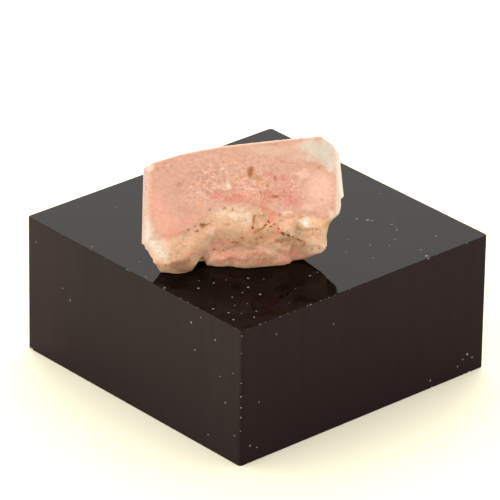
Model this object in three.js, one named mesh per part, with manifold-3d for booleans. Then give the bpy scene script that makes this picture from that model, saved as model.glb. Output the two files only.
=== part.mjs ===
// A thumbnail specimen of fluorite on its display block. Millimetres, +Z up.
// The origin is the centre of the block's underside, with X and Y along the block's sides.
//
// The stone is a massive lump that still has flat crystal faces. It is made as nature left it: a lump of
// rough ground, bounded by the planes of the crystal. The flat faces are cut by planes, each named below by the
// way it faces. The rough ground is a few blocky masses joined together, with bites taken out of them and a
// broken skin.
import * as THREE from "three";
import { ConvexGeometry } from "three/addons/geometries/ConvexGeometry.js";
import { mergeVertices } from "three/addons/utils/BufferGeometryUtils.js";
import Module from "manifold-3d";

const wasm = await Module();
wasm.setup();

// ---- Driving dimensions ----

const BLOCK_SIDE = 33; // the block is square in plan
const BLOCK_HEIGHT = 15;
const BLOCK_ARRIS = 0.25; // the sawn edges are just broken by polishing
const BLOCK_CORNER = 0.4; // radius of the upright edges
const STONE_TURN = 48.3; // degrees from the block's side to the stone's long side
const REST_GAP = 0.02; // air between the stone's flats and the polished top

// Fluorite splits along the faces of an octahedron, and two such faces meet at this angle, in degrees.
const CLEAVAGE_ANGLE = 70.53;

// The stone has its own frame: x along its long side, front measured towards the viewer of its big face, z up
// from the block's top. Its x = 0, front = 0 lies over the block's centre.
const at = (x, front, z) => new THREE.Vector3(x, -front, z);

// Two points of the big face's top edge, and the lower left corner where the face ends in broken ground.
const TOP_MIDDLE = at(-3.64, 3.46, 10.7);
const TOP_RIGHT = at(6.07, 2.45, 11.56);
const LOWER_LEFT = at(-10.97, 11.0, 3.52);
const TOP_EDGE_BEND = 4.2; // degrees by which the top edge dips away, left of TOP_MIDDLE

// ---- Solids ----

const GRAIN = 0.004; // corners are set on a grid this fine, so that no two of them nearly meet
const COARSE_GRAIN = 0.02; // the same, before a skin is broken

// A closed mesh as a solid that can be joined and cut.
function solidOf(positions, corners) {
  const vertProperties = new Float32Array(positions);
  const triVerts = new Uint32Array(corners);
  return new wasm.Manifold(new wasm.Mesh({ numProp: 3, vertProperties, triVerts }));
}

// A closed three.js geometry as such a solid.
function solid(geometry) {
  const bare = geometry.clone();
  bare.deleteAttribute("normal");
  bare.deleteAttribute("uv");
  const merged = mergeVertices(bare, 1e-4);
  return solidOf(merged.attributes.position.array, merged.index.array);
}

// Triangles without those that share all three corners, which are an ear with nothing inside.
function withoutEars(triangles) {
  const kept = new Map();
  for (const corners of triangles) {
    const key = corners.toSorted((a, b) => a - b).join();
    if (kept.has(key)) kept.delete(key);
    else kept.set(key, corners);
  }
  return [...kept.values()];
}

// A body's points, set on a grid with those that meet made one, and its triangles, less those that vanish.
function meshOf(body, grain) {
  const { numProp, vertProperties, triVerts } = body.getMesh();
  const points = [];
  const places = new Map();
  const indices = [];
  for (let i = 0; i < vertProperties.length; i += numProp) {
    const cell = [...vertProperties.subarray(i, i + 3)].map((value) => Math.round(value / grain));
    const key = cell.join();
    if (!places.has(key)) places.set(key, points.push(new THREE.Vector3(...cell).multiplyScalar(grain)) - 1);
    indices.push(places.get(key));
  }
  const triangles = [];
  for (let i = 0; i < triVerts.length; i += 3) {
    const corners = [0, 1, 2].map((j) => indices[triVerts[i + j]]);
    if (new Set(corners).size === 3) triangles.push(corners);
  }
  return { points, triangles: withoutEars(triangles) };
}

// A solid as a geometry with flat-shaded faces.
function geometryOf(body) {
  const { points, triangles } = meshOf(body, GRAIN);
  const corners = triangles.flat().flatMap((corner) => points[corner].toArray());
  const geometry = new THREE.BufferGeometry();
  geometry.setAttribute("position", new THREE.Float32BufferAttribute(corners, 3));
  geometry.computeVertexNormals();
  return geometry;
}

const hull = (points) => solid(new ConvexGeometry(points));
const joined = (bodies) => bodies.reduce((whole, body) => whole.add(body));

// ---- Crystal planes ----

const CUTTER = 60; // a block larger than the stone, which cuts all that lies outside a plane

// What is left of a body inside a plane that passes through a point and faces along outward. The cut can spare a
// flake that stands above the plane.
function cleave(body, { through, outward, sparing }) {
  const cutter = new THREE.BoxGeometry(CUTTER, CUTTER, CUTTER);
  cutter.translate(0, 0, CUTTER / 2);
  const turn = new THREE.Quaternion().setFromUnitVectors(new THREE.Vector3(0, 0, 1), outward);
  cutter.applyQuaternion(turn);
  cutter.translate(through.x, through.y, through.z);
  const outside = solid(cutter);
  return body.subtract(sparing ? outside.subtract(sparing) : outside);
}

const topEdge = TOP_RIGHT.clone().sub(TOP_MIDDLE).normalize();
const bigFaceNormal = LOWER_LEFT.clone().sub(TOP_MIDDLE).cross(topEdge).normalize();
const turned = (normal, axis, degrees) => normal.clone().applyAxisAngle(axis, THREE.MathUtils.degToRad(degrees));
const backNormal = turned(bigFaceNormal, topEdge, CLEAVAGE_ANGLE - 180);
const bevelNormal = turned(bigFaceNormal, topEdge, (CLEAVAGE_ANGLE - 180) / 2);

// A point that lies above the big face by a height, or in it if none is given.
function onBigFace(x, front, above = 0) {
  const foot = at(x, front, 0);
  foot.z = TOP_MIDDLE.z - bigFaceNormal.dot(foot.clone().setZ(TOP_MIDDLE.z).sub(TOP_MIDDLE)) / bigFaceNormal.z;
  return foot.addScaledVector(bigFaceNormal, above);
}

// A thin flake that still stands on the big face, with a square upper right corner. It ends below in broken
// ground.
function flake() {
  const rim = [
    [-4.7, 7.5, 0.0], [-2.9, 6.75, 0.1], [0.17, 6.85, 0.16], [0.15, 8.0, 0.16], [-0.4, 10, 0.16],
    [-4.6, 10, 0.05],
  ];
  return hull(rim.flatMap(([x, front, above]) => [onBigFace(x, front, above), onBigFace(x, front, -0.6)]));
}

const facing = (x, front, z) => at(x, front, z).normalize();
const between = (a, b, share) => a.clone().lerp(b, share).normalize();
const leftward = facing(-1, 0, 0);
const rightward = facing(1, -0.075, 0.075);

const planes = {
  bigFace: { through: TOP_MIDDLE, outward: bigFaceNormal, sparing: flake() },
  back: { through: TOP_MIDDLE, outward: backNormal },
  backLeft: { through: TOP_MIDDLE, outward: turned(backNormal, bigFaceNormal, TOP_EDGE_BEND) },
  topBevel: { through: onBigFace(6.0, 2.73), outward: bevelNormal },
  topLeftBevel: { through: onBigFace(-3.64, 3.72), outward: turned(bevelNormal, bigFaceNormal, TOP_EDGE_BEND) },
  leftEnd: { through: at(-11.4, 8.7, 5.7), outward: leftward },
  leftBevel: { through: onBigFace(-10.62, 8.2), outward: between(bigFaceNormal, leftward, 0.42) },
  leftTopCorner: { through: onBigFace(-8.04, 4.42), outward: facing(-0.314, -0.75, 0.55) },
  rightEnd: { through: at(8.42, 6.1, 7.95), outward: rightward },
  rightBevel: { through: onBigFace(7.78, 5.8), outward: between(bigFaceNormal, rightward, 0.52) },
  thinCorner: { through: onBigFace(7.2, 3.15), outward: facing(0.5, -0.75, 0.28) },
};

// ---- Rough ground ----

// A repeatable number from 0 to 1 for each corner of a grid.
function chance(i, j, k, seed) {
  const wave = Math.sin(i * 127.1 + j * 311.7 + k * 74.7 + seed * 53.3) * 43758.5453;
  return wave - Math.floor(wave);
}

const fade = (t) => t * t * (3 - 2 * t);

// Smooth noise from -1 to 1 whose lumps are about as wide as size.
function lumps(p, size, seed) {
  const cell = p.clone().divideScalar(size);
  const low = cell.clone().floor();
  const part = cell.clone().sub(low);
  let sum = 0;
  for (const i of [0, 1]) {
    for (const j of [0, 1]) {
      for (const k of [0, 1]) {
        const weight =
          (i ? fade(part.x) : 1 - fade(part.x)) *
          (j ? fade(part.y) : 1 - fade(part.y)) *
          (k ? fade(part.z) : 1 - fade(part.z));
        sum += weight * chance(low.x + i, low.y + j, low.z + k, seed);
      }
    }
  }
  return 2 * sum - 1;
}

// Noise from -1 to 1 that is level over each cell of broken ground and steps at its borders, as cleavage does.
function steps(p, size, seed) {
  const cell = p.clone().divideScalar(size);
  const low = cell.clone().floor();
  let nearest = Infinity;
  let level = 0;
  for (let i = -1; i <= 1; i++) {
    for (let j = -1; j <= 1; j++) {
      for (let k = -1; k <= 1; k++) {
        const [a, b, c] = [low.x + i, low.y + j, low.z + k];
        const centre = new THREE.Vector3(
          a + chance(a, b, c, seed),
          b + chance(a, b, c, seed + 1),
          c + chance(a, b, c, seed + 2),
        );
        const distance = centre.distanceToSquared(cell);
        if (distance < nearest) {
          nearest = distance;
          level = chance(a, b, c, seed + 3);
        }
      }
    }
  }
  return 2 * level - 1;
}

// A body's triangles with each edge halved until none is longer than longest.
function refined(body, longest) {
  const mesh = meshOf(body, COARSE_GRAIN);
  const { points } = mesh;
  let { triangles } = mesh;
  for (let split = true; split; ) {
    split = false;
    const middles = new Map();
    const middle = (a, b) => {
      if (points[a].distanceTo(points[b]) <= longest) return null;
      const key = a < b ? `${a},${b}` : `${b},${a}`;
      if (!middles.has(key)) middles.set(key, points.push(points[a].clone().lerp(points[b], 0.5)) - 1);
      return middles.get(key);
    };
    const next = [];
    for (const corners of triangles) {
      const halves = corners.map((corner, i) => middle(corner, corners[(i + 1) % 3]));
      const cuts = halves.filter((half) => half !== null).length;
      if (cuts) split = true;
      next.push(...divided(corners, halves, cuts));
    }
    triangles = next;
  }
  return { points, triangles };
}

// One triangle as the smaller ones that its halved edges make. halves[i] is the middle of the edge that
// follows corner i.
function divided(corners, halves, cuts) {
  if (!cuts) return [corners];
  // Where two edges are halved, the first of them is the one that follows the whole edge.
  const first = halves.findIndex((half, i) => half !== null && (cuts !== 2 || halves[(i + 2) % 3] === null));
  const [a, b, c] = [0, 1, 2].map((i) => corners[(first + i) % 3]);
  const [ab, bc, ca] = [0, 1, 2].map((i) => halves[(first + i) % 3]);
  if (cuts === 1) return [[a, ab, c], [ab, b, c]];
  if (cuts === 2) return [[ab, b, bc], [a, ab, bc], [a, bc, c]];
  return [[a, ab, ca], [ab, b, bc], [ca, bc, c], [ab, bc, ca]];
}

const SKIN_EDGE = 0.65; // longest triangle edge on broken ground
const SKIN = [
  { noise: lumps, size: 3.1, depth: 0.3, seed: 3 },
  { noise: steps, size: 1.7, depth: 0.16, seed: 11 },
  { noise: lumps, size: 1.2, depth: 0.14, seed: 23 },
];

// A body with a broken skin: its surface moved in and out along its own direction.
function broken(body) {
  const { points, triangles } = refined(body, SKIN_EDGE);
  const outward = points.map(() => new THREE.Vector3());
  for (const [a, b, c] of triangles) {
    const normal = points[b].clone().sub(points[a]).cross(points[c].clone().sub(points[a]));
    for (const corner of [a, b, c]) outward[corner].add(normal);
  }
  const moved = points.map((point, i) => {
    const depth = SKIN.reduce((sum, layer) => sum + layer.depth * layer.noise(point, layer.size, layer.seed), 0);
    return point.clone().addScaledVector(outward[i].normalize(), depth);
  });
  return solidOf(moved.flatMap((point) => point.toArray()), triangles.flat());
}

// The masses reach past the crystal planes above, behind and at the ends, so that only their fronts, their
// right end and their undersides stay rough.
const masses = {
  leftFoot: hull([
    at(-13, 9.5, 7), at(-11.9, 10.9, 3.9), at(-10.9, 11.0, 2.3), at(-9.95, 10.9, 0.8), at(-9.3, 10.8, -0.2),
    at(-8.0, 11.7, 1.4), at(-7.8, 11.2, -0.4), at(-6.6, 10.7, -0.4), at(-6.3, 10.5, 2.0), at(-7.9, 10.4, 4.2),
    at(-5.8, 9.0, 5.5), at(-5.7, 9.0, 0.2), at(-4.2, 9.2, 4.2), at(-4.6, 9.3, 2.3), at(-13, -4, 14),
    at(-4, -4, 14), at(-13, -4, 4), at(-4, -4, 4), at(-12, 1.0, -0.4), at(-4, 0.5, -0.4), at(-5, 7, 9),
  ]),
  middle: hull([
    at(-6.5, 8.2, 6.6), at(-4.4, 7.9, 6.5), at(1.6, 8.26, 6.1), at(4.4, 8.2, 6.2), at(-4.8, 9.2, 4.4),
    at(-0.5, 9.2, 4.2), at(3.6, 8.8, 3.6), at(-5.4, 9.0, 1.6), at(3.4, 8.8, 1.0), at(-5.2, 8.8, -0.4),
    at(3.2, 8.5, -0.4), at(-7, -4, 14), at(6, -4, 14), at(-7, -4, 4), at(6, -4, 4), at(-6, 0.5, -0.4),
    at(5, 0.3, -0.4), at(-5, 5, 12), at(5, 5, 12),
  ]),
  right: hull([
    at(2.5, 8.2, 6.2), at(7.0, 8.6, 5.6), at(6.4, 8.1, 4.0), at(6.3, 8.25, 2.0), at(5.6, 7.9, 0.6),
    at(4.4, 7.4, -0.4), at(2.5, 8.1, -0.4), at(6.4, 4.5, -0.2), at(2, -4, 14), at(9, -4, 14), at(2, 5, 12),
    at(2, -4, 4), at(7.6, -4, 4.5), at(2, 0.3, -0.4), at(6, 0.6, -0.4), at(9.4, 4, 12), at(9.4, 6.9, 8.0),
    at(7.0, 6.2, 5.3), at(7.0, 1, 3),
  ]),
  rightFoot: hull([
    at(5.0, 8.1, 2.5), at(6.4, 8.3, 2.5), at(6.75, 8.0, 2.3), at(6.85, 7.9, 1.6), at(6.5, 8.3, 1.1),
    at(6.0, 8.1, 0.5), at(5.2, 7.6, 0.0), at(6.8, 4, 2.0), at(6.8, 4, 3.0), at(4, 4, 1),
  ]),
  bottomLedge: hull([
    at(-5.7, 9.2, 0.3), at(-4.4, 9.4, 0.9), at(-0.6, 9.8, 2.0), at(1.2, 9.5, 1.7), at(3.0, 9.0, 0.8),
    at(-4.6, 9.1, -0.4), at(-2.4, 9.5, -0.4), at(2.9, 8.7, -0.4), at(-5.4, 6, 0.5), at(2.6, 6, 0.5),
    at(-0.6, 6, 2.2),
  ]),
  rightKnob: hull([
    at(4.3, 8.4, 4.6), at(5.0, 8.3, 5.0), at(4.0, 8.7, 4.1), at(4.6, 9.1, 4.2), at(5.2, 8.7, 4.1),
    at(4.6, 8.8, 3.5), at(4.6, 7, 4.4),
  ]),
};

const bites = {
  besidePlate: hull([
    at(0.35, 8.3, 6.2), at(0.0, 9.6, 4.1), at(1.8, 9.5, 4.4), at(2.0, 8.5, 5.8), at(0.9, 7.9, 4.9),
    at(0.4, 12, 5), at(1.8, 12, 5),
  ]),
  overLedge: hull([
    at(0.5, 9.7, 2.9), at(4.6, 9.2, 3.0), at(4.2, 9.0, 1.4), at(1.4, 9.6, 1.9), at(2.8, 8.2, 2.3),
    at(1, 12, 2.5), at(4, 12, 2.5),
  ]),
  rightNotch: hull([
    at(8.0, 10, 6.7), at(8.1, 2, 6.2), at(7.9, 10, 3), at(8.0, 2, 2), at(12, 10, 7.6), at(12, 2, 7.6),
    at(12, 10, 0), at(12, 2, 0),
  ]),
  rightWaist: hull([
    at(6.7, 9.5, 4.2), at(7.0, 9.5, 5.2), at(6.8, 9.5, 3.4), at(6.8, 3, 1.2), at(7.0, 3, 2.1), at(6.8, 3, 0.3),
    at(9, 9.5, 7.2), at(9, 9.5, 2.8), at(9, 3, 4.1), at(9, 3, 0),
  ]),
  besideFoot: hull([
    at(-6.1, 9.4, -1), at(-4.9, 8.9, -1), at(-5.2, 9.1, 0.9), at(-6.3, 12, -1), at(-3.4, 12, -1),
    at(-5.4, 12, 1.6), at(-5.4, 8.5, -1),
  ]),
};

// ---- Details of the flat faces ----

const PIT_SIDES = 7;
const PIT_DEPTH = 0.8; // of its radius

// A shallow round pit in the big face, with an uneven rim.
function pit({ x, front, radius }) {
  const rim = Array.from({ length: PIT_SIDES }, (_, i) => {
    const angle = (i * 2 * Math.PI) / PIT_SIDES;
    const reach = radius * (0.8 + 0.4 * chance(i, x, front, 5));
    return onBigFace(x + reach * Math.cos(angle), front + reach * Math.sin(angle), 0.3 * radius);
  });
  return hull([...rim, onBigFace(x, front, -PIT_DEPTH * radius)]);
}
const pits = [
  { x: -0.9, front: 5.5, radius: 0.38 },
  { x: 1.75, front: 7.35, radius: 0.3 },
  { x: 1.65, front: 3.35, radius: 0.22 },
];

// A point of the back face at a place along the stone and a height, moved inwards by a depth.
function onBack(x, z, inside) {
  const rise = backNormal.x * (x - TOP_MIDDLE.x) + backNormal.z * (z - TOP_MIDDLE.z);
  return at(x, rise / backNormal.y - TOP_MIDDLE.y, z).addScaledVector(backNormal, -inside);
}

// A step where the back split along a second plane, a little inside the first.
function backStep({ from, to, top, depth }) {
  const corners = [[from, top], [to, top - 1.2], [to + 0.5, -2], [from - 0.9, -2]];
  return hull(corners.flatMap(([x, z]) => [onBack(x, z, depth), onBack(x, z, -2)]));
}
const backSteps = [
  { from: 0.8, to: 11, top: 7.4, depth: 0.55 },
  { from: -13, to: -5.5, top: 5.2, depth: 0.35 },
];

function makeFluorite() {
  const ground = Object.values(bites).reduce((mass, bite) => mass.subtract(bite), joined(Object.values(masses)));
  const crystal = Object.values(planes).reduce(cleave, broken(ground));
  const marks = [...pits.map(pit), ...backSteps.map(backStep)];
  const marked = marks.reduce((body, mark) => body.subtract(mark), crystal);
  return cleave(marked, { through: at(0, 0, 0), outward: new THREE.Vector3(0, 0, -1) });
}

// ---- Display block ----

function makeBlock() {
  const centre = BLOCK_SIDE / 2 - BLOCK_CORNER;
  const radius = BLOCK_CORNER - BLOCK_ARRIS;
  const outline = new THREE.Shape();
  outline.absarc(centre, centre, radius, 0, Math.PI / 2);
  outline.absarc(-centre, centre, radius, Math.PI / 2, Math.PI);
  outline.absarc(-centre, -centre, radius, Math.PI, 1.5 * Math.PI);
  outline.absarc(centre, -centre, radius, 1.5 * Math.PI, 2 * Math.PI);
  outline.closePath();
  const geometry = new THREE.ExtrudeGeometry(outline, {
    depth: BLOCK_HEIGHT - 2 * BLOCK_ARRIS,
    bevelEnabled: true,
    bevelThickness: BLOCK_ARRIS,
    bevelSize: BLOCK_ARRIS,
    bevelSegments: 2,
    curveSegments: 4,
  });
  geometry.translate(0, 0, BLOCK_ARRIS);
  return geometry;
}

// ---- Materials ----

const frostedPink = new THREE.MeshStandardMaterial({ color: 0xe6b08f, roughness: 0.55, metalness: 0 });
const polishedBlack = new THREE.MeshStandardMaterial({ color: 0x17110f, roughness: 0.08, metalness: 0 });

// ---- Scene ----

const block = new THREE.Mesh(makeBlock(), polishedBlack);
block.name = "display_block";

const stone = new THREE.Mesh(geometryOf(makeFluorite()), frostedPink);
stone.name = "fluorite";
const seat = new THREE.Group();
seat.position.z = BLOCK_HEIGHT + REST_GAP;
seat.rotation.z = THREE.MathUtils.degToRad(STONE_TURN);
seat.add(stone);

const specimen = new THREE.Group();
specimen.name = "fluorite_specimen";
specimen.add(block, seat);

export default specimen;
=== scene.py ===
"""A thumbnail specimen of frosted pink fluorite on its polished black display block.

The stone is shaped from the frame's solid: its underside is cut back at both ends, its skin is made fine, and the
broken ground is softened and then roughened again, while the crystal faces stay flat. The block is a polished
cuboid with worn and chipped edges. Lengths are in metres in the meshes, and in millimetres where a name ends in
_MM and in the stone's own frame.
"""

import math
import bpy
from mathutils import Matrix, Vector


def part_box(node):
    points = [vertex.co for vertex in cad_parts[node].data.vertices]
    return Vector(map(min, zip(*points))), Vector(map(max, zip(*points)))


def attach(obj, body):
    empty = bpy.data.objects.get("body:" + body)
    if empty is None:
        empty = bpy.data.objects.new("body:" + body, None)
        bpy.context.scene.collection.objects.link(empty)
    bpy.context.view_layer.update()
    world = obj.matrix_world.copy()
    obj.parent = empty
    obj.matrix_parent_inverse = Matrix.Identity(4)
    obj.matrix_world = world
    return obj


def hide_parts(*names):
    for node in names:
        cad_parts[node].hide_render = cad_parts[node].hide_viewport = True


bl_info = {
    "name": "Fluorite Specimen",
    "version": (1, 0, 0),
    "blender": (4, 5, 0),
    "location": "3D View > Sidebar > Specimen",
    "description": "Builds a frosted fluorite crystal on its black display block",
    "category": "Object",
}

import bpy
import numpy as np
from bpy.props import FloatProperty, FloatVectorProperty, PointerProperty
from mathutils import Matrix, Vector

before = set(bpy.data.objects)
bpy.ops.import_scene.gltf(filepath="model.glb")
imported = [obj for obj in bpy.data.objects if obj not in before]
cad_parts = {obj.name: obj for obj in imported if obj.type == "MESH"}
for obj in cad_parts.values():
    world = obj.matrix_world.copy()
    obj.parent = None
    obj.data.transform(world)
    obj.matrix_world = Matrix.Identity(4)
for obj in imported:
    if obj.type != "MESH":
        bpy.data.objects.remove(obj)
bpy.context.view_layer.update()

# ---- Sizes and places ----

MM = 0.001
BLOCK_LOW, BLOCK_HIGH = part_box("display_block")
BLOCK_TOP_MM = BLOCK_HIGH.z / MM
BLOCK_HALF_MM = BLOCK_HIGH.x / MM
REST_GAP_MM = 0.02  # air between the stone's flats and the polished top

# The stone has its own frame, in millimetres: x along its long side, front towards the viewer of its big face,
# z up from its underside. It is turned on the block by this angle.
STONE_TURN = math.radians(48.3)
DEEP_MM = 1000.0  # more than the whole stone

# The big face as a plane of the stone's frame: its outward direction, and its distance from the origin.
BIG_FACE = Vector((0.0097, -0.6953, 0.7187)).normalized()
BIG_FACE_DISTANCE_MM = 10.072


def srgb(red, green, blue):
    """A display colour from 0 to 255 as the linear colour that shaders take."""
    channels = (value / 255 for value in (red, green, blue))
    return tuple(v / 12.92 if v <= 0.04045 else ((v + 0.055) / 1.055) ** 2.4 for v in channels)


def place(x, front, z):
    """A point of the stone's frame as a vector of its shader coordinates."""
    return Vector((x, -front, z))


# ---- Settings that a user would change ----


def colour(name, description, default):
    """A colour among the settings."""
    return FloatVectorProperty(
        name=name, description=description, default=default, subtype="COLOR", size=3, min=0, max=1
    )


class StoneSettings(bpy.types.PropertyGroup):
    """Grain and colours of the fluorite."""

    grain: FloatProperty(
        name="Grain", description="Size of the stone's mesh cells", default=0.11 * MM, min=0.1 * MM,
        unit="LENGTH", precision=5,
    )
    relief: FloatProperty(
        name="Relief", description="How much of the fine relief the broken ground has", default=1.0, min=0,
        subtype="FACTOR",
    )
    glow: FloatProperty(
        name="Glow", description="How far light spreads under the skin", default=0.45 * MM, min=0,
        unit="LENGTH", precision=5,
    )
    tone: FloatProperty(
        name="Tone", description="Brightness of the big face's colours", default=0.74, min=0, subtype="FACTOR"
    )
    # Ground tone: brighter than the big face's tone, painted light on the shaded broken ground.
    ground_tone: colour("Ground tone", "What the broken ground's colours are multiplied by", (0.92, 0.95, 1.0))
    rose: colour("Rose", "The big face", srgb(226, 175, 151))
    salmon: colour("Salmon", "The warm lower left of the big face", srgb(240, 180, 155))
    rosy: colour("Rosy", "The pink tip of the big face", srgb(240, 167, 144))
    mauve: colour("Mauve", "The frosted middle of the big face", srgb(218, 163, 145))
    dusk: colour("Dusk", "Bruises in the frost", srgb(205, 146, 130))
    apricot: colour("Apricot", "Warm spots in the frost", srgb(240, 178, 142))
    peach: colour("Peach", "Along the top edge", srgb(233, 195, 168))
    # Bright peach: partly the stone's colour, partly painted light over the shaded right lobe.
    glow_peach: colour("Bright peach", "The right end of the broken ground", srgb(252, 206, 170))
    # Pale: the stone's colour on the right of the big face, and painted light over a crease of the broken ground.
    pale: colour("Pale", "The right of the big face", srgb(247, 203, 177))
    deep_rose: colour("Deep rose", "The deepest pink", srgb(223, 139, 116))
    coral: colour("Coral", "Pink streaks", srgb(236, 143, 120))
    plate: colour("Plate", "The thin plate on the big face", srgb(240, 170, 148))
    # Ice on the right bevel and on the left foot is painted light shining through thin stone; on the clear corner
    # it is the stone's own colour.
    ice: colour("Ice", "The clear corner and the right bevel", srgb(238, 222, 206))
    cream: colour("Cream", "Bevels and thin edges", srgb(242, 217, 192))
    chalk: colour("Chalk", "The white lump and spots", srgb(244, 212, 182))
    blush: colour("Blush", "Light pink beside the white lump", srgb(246, 192, 165))
    straw: colour("Straw", "The broken ground", srgb(219, 176, 140))
    sand: colour("Sand", "Under the left end of the big face", srgb(225, 184, 152))
    honey: colour("Honey", "The broken ground's hollows", srgb(203, 156, 118))
    hollow: colour("Hollow", "The deepest hollow in the broken ground", srgb(169, 128, 96))
    # Umber: painted shade under the left foot.
    shaded_umber: colour("Umber", "The underside of the left foot", srgb(155, 109, 85))
    pink: colour("Pink", "Bands in the broken ground", srgb(236, 164, 140))
    terracotta: colour("Terracotta", "The rim above the block", srgb(203, 135, 108))
    greige: colour("Greige", "Clear patches in the broken ground", srgb(203, 158, 130))
    # Lilac: painted shade on the big face's left edge.
    shaded_lilac: colour("Lilac", "The left edge of the big face", srgb(198, 166, 158))
    dark: colour("Dark", "Dirt packed in cracks", srgb(122, 62, 8))
    brown: colour("Brown", "Specks of dirt", srgb(168, 98, 32))
    ochre: colour("Ochre", "Stains", srgb(200, 138, 84))
    scratch: colour("Scratch", "Scratches", srgb(194, 124, 100))
    # Glint: painted highlights, the glints of the frost and of the flake's edges, and painted light on shaded
    # broken ground.
    glint: colour("Glint", "Light scuffs", srgb(255, 224, 192))


class BlockSettings(bpy.types.PropertyGroup):
    """Finish of the display block."""

    edge: FloatProperty(
        name="Edge", description="Radius of the worn edges round the top and the bottom", default=0.05 * MM,
        min=0, unit="LENGTH", precision=5,
    )
    corner: FloatProperty(
        name="Corner", description="Radius of the upright edges", default=0.35 * MM, min=0, unit="LENGTH",
        precision=5,
    )
    polish: FloatProperty(
        name="Polish", description="Roughness of the polished top", default=0.04, min=0, max=1, subtype="FACTOR"
    )
    satin: FloatProperty(
        name="Satin", description="Roughness of the sawn sides", default=0.42, min=0, max=1, subtype="FACTOR"
    )
    top: colour("Top", "The polished top", (0.0006, 0.0004, 0.0003))
    side: colour("Side", "The sawn sides", (0.0230, 0.0175, 0.0166))
    side_low: colour("Low side", "The sides near the floor", (0.0188, 0.0128, 0.0134))
    chips: colour("Chips", "Fresh chips in the edges", (0.30, 0.28, 0.26))
    dust: colour("Dust", "Dust on the block", (0.27, 0.25, 0.24))


class StageSettings(bpy.types.PropertyGroup):
    """The floor, the light and the camera."""

    floor: colour("Floor", "The pale floor", (0.95, 0.915, 0.715))
    surround: FloatProperty(
        name="Surround", description="Brightness of the light all round", default=1.5, min=0
    )
    slant: FloatProperty(
        name="Slant", description="How much brighter the light is on the left than on the right", default=0.25,
        min=0, max=1, subtype="FACTOR",
    )
    backdrop: FloatProperty(
        name="Backdrop", description="Brightness of the light behind the specimen", default=3.75, min=0
    )
    lens: FloatProperty(
        name="Lens", description="Focal length of the camera", default=368.47, min=1, unit="CAMERA"
    )


# ---- Shader nodes ----


WHITE = (1.0, 1.0, 1.0)
DOT_CORE = 0.6  # the share of a dot's radius within which it is solid


class Socket:
    """An output of a shader node. Arithmetic on it adds Math nodes to its tree."""

    def __init__(self, shader, output):
        self.shader = shader
        self.output = output

    def math(self, operation, *values):
        """A Math node on these values."""
        return self.shader.node("ShaderNodeMath", {"operation": operation}, dict(enumerate(values)))

    def __add__(self, other):
        return self.math("ADD", self, other)

    __radd__ = __add__

    def __sub__(self, other):
        return self.math("SUBTRACT", self, other)

    def __rsub__(self, other):
        return self.math("SUBTRACT", other, self)

    def __mul__(self, other):
        return self.math("MULTIPLY", self, other)

    __rmul__ = __mul__

    def __pow__(self, other):
        return self.math("POWER", self, other)

    def most(self, other):
        """The larger of the two."""
        return self.math("MAXIMUM", self, other)

    def least(self, other):
        """The smaller of the two."""
        return self.math("MINIMUM", self, other)


class Shader:
    """A material's or a world's node tree, and the ways in which nodes are added to it."""

    def __init__(self, owner):
        owner.use_nodes = True
        self.tree = owner.node_tree
        self.tree.nodes.clear()

    def node(self, kind, settings=None, inputs=None, output=0):
        """Adds a node: its settings first, then the values or links of its sockets."""
        node = self.tree.nodes.new(kind)
        for name, value in (settings or {}).items():
            setattr(node, name, value)
        for name, value in (inputs or {}).items():
            if isinstance(value, Socket):
                self.tree.links.new(value.output, node.inputs[name])
            else:
                node.inputs[name].default_value = value
        return Socket(self, node.outputs[output]) if node.outputs else None

    def vector(self, operation, *values, output=0):
        """A Vector Math node on these values."""
        return self.node("ShaderNodeVectorMath", {"operation": operation}, dict(enumerate(values)), output)

    def mix(self, factor, first, second):
        """A colour between two colours."""
        first, second = (c if isinstance(c, Socket) else (*c, 1.0) for c in (first, second))
        return self.node("ShaderNodeMix", {"data_type": "RGBA"}, {0: factor, 6: first, 7: second}, 2)

    def multiply(self, first, second):
        """Two colours multiplied."""
        settings = {"data_type": "RGBA", "blend_type": "MULTIPLY"}
        return self.node("ShaderNodeMix", settings, {0: 1.0, 6: first, 7: second}, 2)

    def smooth(self, value, low, high):
        """0 below low and 1 above high, or the other way round if low is the larger."""
        limits = {"Value": value, "From Min": low, "From Max": high}
        settings = {"interpolation_type": "SMOOTHSTEP", "clamp": False}  # a smooth step is clamped by itself
        return self.node("ShaderNodeMapRange", settings, limits)

    def noise(self, point, scale, detail=2.0, roughness=0.5, output=0):
        """Noise with this many spots to the millimetre."""
        inputs = {"Vector": point, "Scale": scale, "Detail": detail, "Roughness": roughness}
        return self.node("ShaderNodeTexNoise", {}, inputs, output)

    def parts(self, vector):
        """The x, y and z of a vector."""
        split = self.node("ShaderNodeSeparateXYZ", {}, {0: vector})
        node = split.output.node
        return [Socket(self, output) for output in node.outputs]

    def shaken(self, point, scale, reach):
        """The point moved about by noise, up to half of reach to each side."""
        noise = self.noise(point, scale, output="Color")
        noise = self.vector("SUBTRACT", noise, (0.5, 0.5, 0.5))
        return self.vector("MULTIPLY_ADD", noise, (reach, reach, reach), point)

    def spots(self, point, ellipses, soft):
        """1 in any of the ellipses on the front, fading to 0 at their edges."""
        covered = None
        for across, up, half_length, half_width, degrees in ellipses:
            inputs = {
                "Vector": point, "Location": (across, up, 0), "Rotation": (0, 0, math.radians(degrees)),
                "Scale": (half_length, half_width, DEEP_MM),
            }
            unit = self.node("ShaderNodeMapping", {"vector_type": "TEXTURE"}, inputs)
            inside = self.node("ShaderNodeTexGradient", {"gradient_type": "SPHERICAL"}, {"Vector": unit}, "Fac")
            spot = self.smooth(inside, 0.0, soft)
            covered = covered.most(spot) if covered else spot
        return covered

    def dots(self, point, places):
        """1 in any of the balls, given by their x, y, z and radius."""
        covered = None
        for x, y, z, radius in places:
            distance = self.vector("DISTANCE", point, (x, y, z), output="Value")
            dot = self.smooth(distance, radius, radius * DOT_CORE)
            covered = covered.most(dot) if covered else dot
        return covered


def new_material(name):
    """An empty material of this name, in place of an older one."""
    old = bpy.data.materials.get(name)
    if old:
        bpy.data.materials.remove(old)
    return bpy.data.materials.new(name)


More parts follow.
